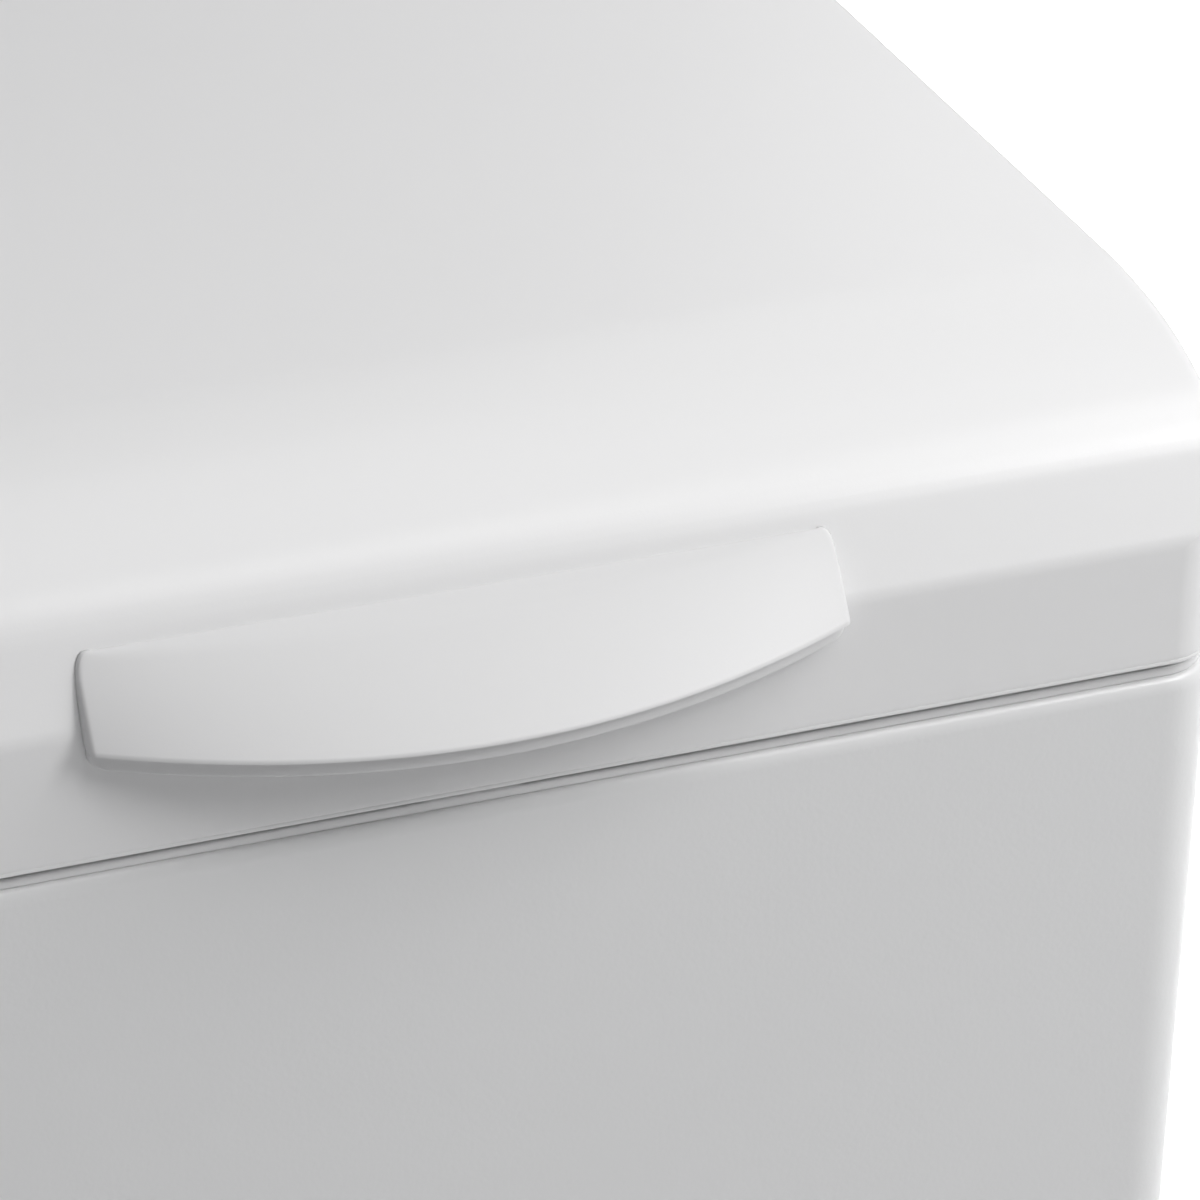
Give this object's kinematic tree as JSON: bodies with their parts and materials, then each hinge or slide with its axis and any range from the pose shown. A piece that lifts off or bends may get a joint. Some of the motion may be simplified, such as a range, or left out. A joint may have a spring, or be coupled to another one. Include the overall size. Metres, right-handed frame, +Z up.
{
  "type": "top load washing machine",
  "caption": "Slim top load washing machine: hinged lid with a visor grip over a lift-out dispenser and a horizontal drum with twin flaps, sloping console, sprung tub and belt drive.",
  "frame": {"origin": "on the floor, at the centre of the overall width and depth", "axes": "+Z up, -Y towards the user (the front), +X to the user's right"},
  "size_m": [0.4, 0.607, 0.9021],
  "materials": {
    "cabinet_paint": "white semi-gloss enamel",
    "white_plastic": "white satin ABS",
    "grey_plastic": "grey satin plastic",
    "tub_plastic": "filled polypropylene",
    "dark_plastic": "black satin plastic",
    "black_glass": "gloss display window",
    "circuit_board": "green solder mask",
    "chrome_trim": "satin chrome",
    "stainless": "brushed stainless steel",
    "zinc_steel": "galvanised sheet",
    "aluminium": "cast",
    "grey_rubber": "matt moulded",
    "black_rubber": "matt",
    "concrete": "cast concrete"
  },
  "bodies": {
    "cabinet": {"cabinet_wrap": "cabinet_paint", "rear_panel": "zinc_steel", "base_tray": "grey_plastic", "kick_plate": "white_plastic", "drain_pump": "dark_plastic", "sump_hose": "black_rubber", "inlet_valve": "white_plastic", "drain_outlet": "dark_plastic", "mains_gland": "black_rubber", "foot_front_left": "black_rubber", "foot_front_right": "black_rubber", "foot_rear_left": "black_rubber", "foot_rear_right": "black_rubber", "damper_cylinder_left": "dark_plastic", "damper_cylinder_right": "dark_plastic", "hinge_bracket_left": "grey_plastic", "hinge_bracket_right": "grey_plastic", "spring_left": "zinc_steel", "spring_right": "zinc_steel", "top_deck": "white_plastic", "dispenser_housing": "white_plastic", "lid_lock": "dark_plastic", "door_bellows": "grey_rubber", "console_housing": "white_plastic", "console_fascia": "grey_plastic", "display_window": "black_glass", "control_board": "circuit_board"},
    "filter_flap": {"filter_flap": "white_plastic"},
    "filter_cap": {"filter_cap": "dark_plastic"},
    "dispenser_tray": {"dispenser_tray": "white_plastic"},
    "program_knob": {"program_knob": "chrome_trim"},
    "power_button": {"power_button": "white_plastic"},
    "start_button": {"start_button": "white_plastic"},
    "option_button_1": {"option_button_1": "white_plastic"},
    "option_button_2": {"option_button_2": "white_plastic"},
    "lid": {"lid_outer": "white_plastic", "lid_inner": "white_plastic", "lid_handle": "white_plastic", "lid_strike": "grey_plastic", "hinge_pin_left": "stainless", "hinge_pin_right": "stainless"},
    "tub": {"tub_left": "tub_plastic", "tub_right": "tub_plastic", "heater": "stainless", "counterweight_front": "concrete", "counterweight_rear": "concrete", "motor": "aluminium", "drive_belt": "black_rubber", "bearing_left": "stainless", "bearing_right": "stainless", "damper_rod_left": "zinc_steel", "damper_rod_right": "zinc_steel"},
    "motor_pulley": {"motor_pulley": "zinc_steel"},
    "drum": {"drum_shell": "stainless", "drum_shaft_left": "aluminium", "drum_shaft_right": "aluminium", "drum_pulley": "aluminium"},
    "drum_flap_front": {"drum_flap_front": "stainless"},
    "drum_flap_rear": {"drum_flap_rear": "stainless"},
    "flap_button": {"flap_button": "grey_plastic"}
  },
  "joints": [
    {"name": "lid_hinge", "type": "hinge", "parent": "cabinet", "child": "lid", "pos_m": [0, 0.16, 0.844], "axis": [-1, 0, 0], "range_deg": [0, 88]},
    {"name": "tub_bounce", "type": "slide", "parent": "cabinet", "child": "tub", "axis": [0, 0, 1], "range_m": [-0.008, 0.008], "stiffness_N_per_m": 20000, "springref_m": 0.013, "deforming": ["spring_left", "spring_right", "door_bellows", "sump_hose"]},
    {"name": "drum_spin", "type": "hinge", "parent": "tub", "child": "drum", "pos_m": [0, 0.0035, 0.43], "axis": [1, 0, 0], "range_deg": [-360, 360]},
    {"name": "motor_spin", "type": "hinge", "parent": "tub", "child": "motor_pulley", "pos_m": [0, 0.1785, 0.145], "axis": [1, 0, 0], "range_deg": [-4590, 4590]},
    {"name": "front_flap_hinge", "type": "hinge", "parent": "drum", "child": "drum_flap_front", "pos_m": [0, -0.08278, 0.64536], "axis": [1, 0, 0], "range_deg": [0, 100]},
    {"name": "rear_flap_hinge", "type": "hinge", "parent": "drum", "child": "drum_flap_rear", "pos_m": [0, 0.08978, 0.64536], "axis": [-1, 0, 0], "range_deg": [0, 100]},
    {"name": "flap_button_press", "type": "slide", "parent": "drum_flap_front", "child": "flap_button", "axis": [0, 0, -1], "range_m": [0, 0.003], "stiffness_N_per_m": 400},
    {"name": "dispenser_lift", "type": "slide", "parent": "cabinet", "child": "dispenser_tray", "axis": [0, 0, 1], "range_m": [0, 0.035]},
    {"name": "knob_turn", "type": "hinge", "parent": "cabinet", "child": "program_knob", "pos_m": [-0.092, 0.22607, 0.87523], "axis": [0, -0.3746, 0.9272], "continuous": true},
    {"name": "power_press", "type": "slide", "parent": "cabinet", "child": "power_button", "axis": [0, 0.3746, -0.9272], "range_m": [0, 0.0015], "stiffness_N_per_m": 500},
    {"name": "start_press", "type": "slide", "parent": "cabinet", "child": "start_button", "axis": [0, 0.3746, -0.9272], "range_m": [0, 0.0015], "stiffness_N_per_m": 500},
    {"name": "option_1_press", "type": "slide", "parent": "cabinet", "child": "option_button_1", "axis": [0, 0.3746, -0.9272], "range_m": [0, 0.0015], "stiffness_N_per_m": 500},
    {"name": "option_2_press", "type": "slide", "parent": "cabinet", "child": "option_button_2", "axis": [0, 0.3746, -0.9272], "range_m": [0, 0.0015], "stiffness_N_per_m": 500},
    {"name": "filter_flap_hinge", "type": "hinge", "parent": "cabinet", "child": "filter_flap", "pos_m": [0, -0.275, 0.037], "axis": [1, 0, 0], "range_deg": [0, 90]},
    {"name": "filter_turn", "type": "hinge", "parent": "cabinet", "child": "filter_cap", "pos_m": [0.095, -0.2645, 0.072], "axis": [0, 1, 0], "range_deg": [0, 180]}
  ],
  "couplings": [
    {"joint": "motor_spin", "follows": "drum_spin", "ratio": 12.727}
  ]
}
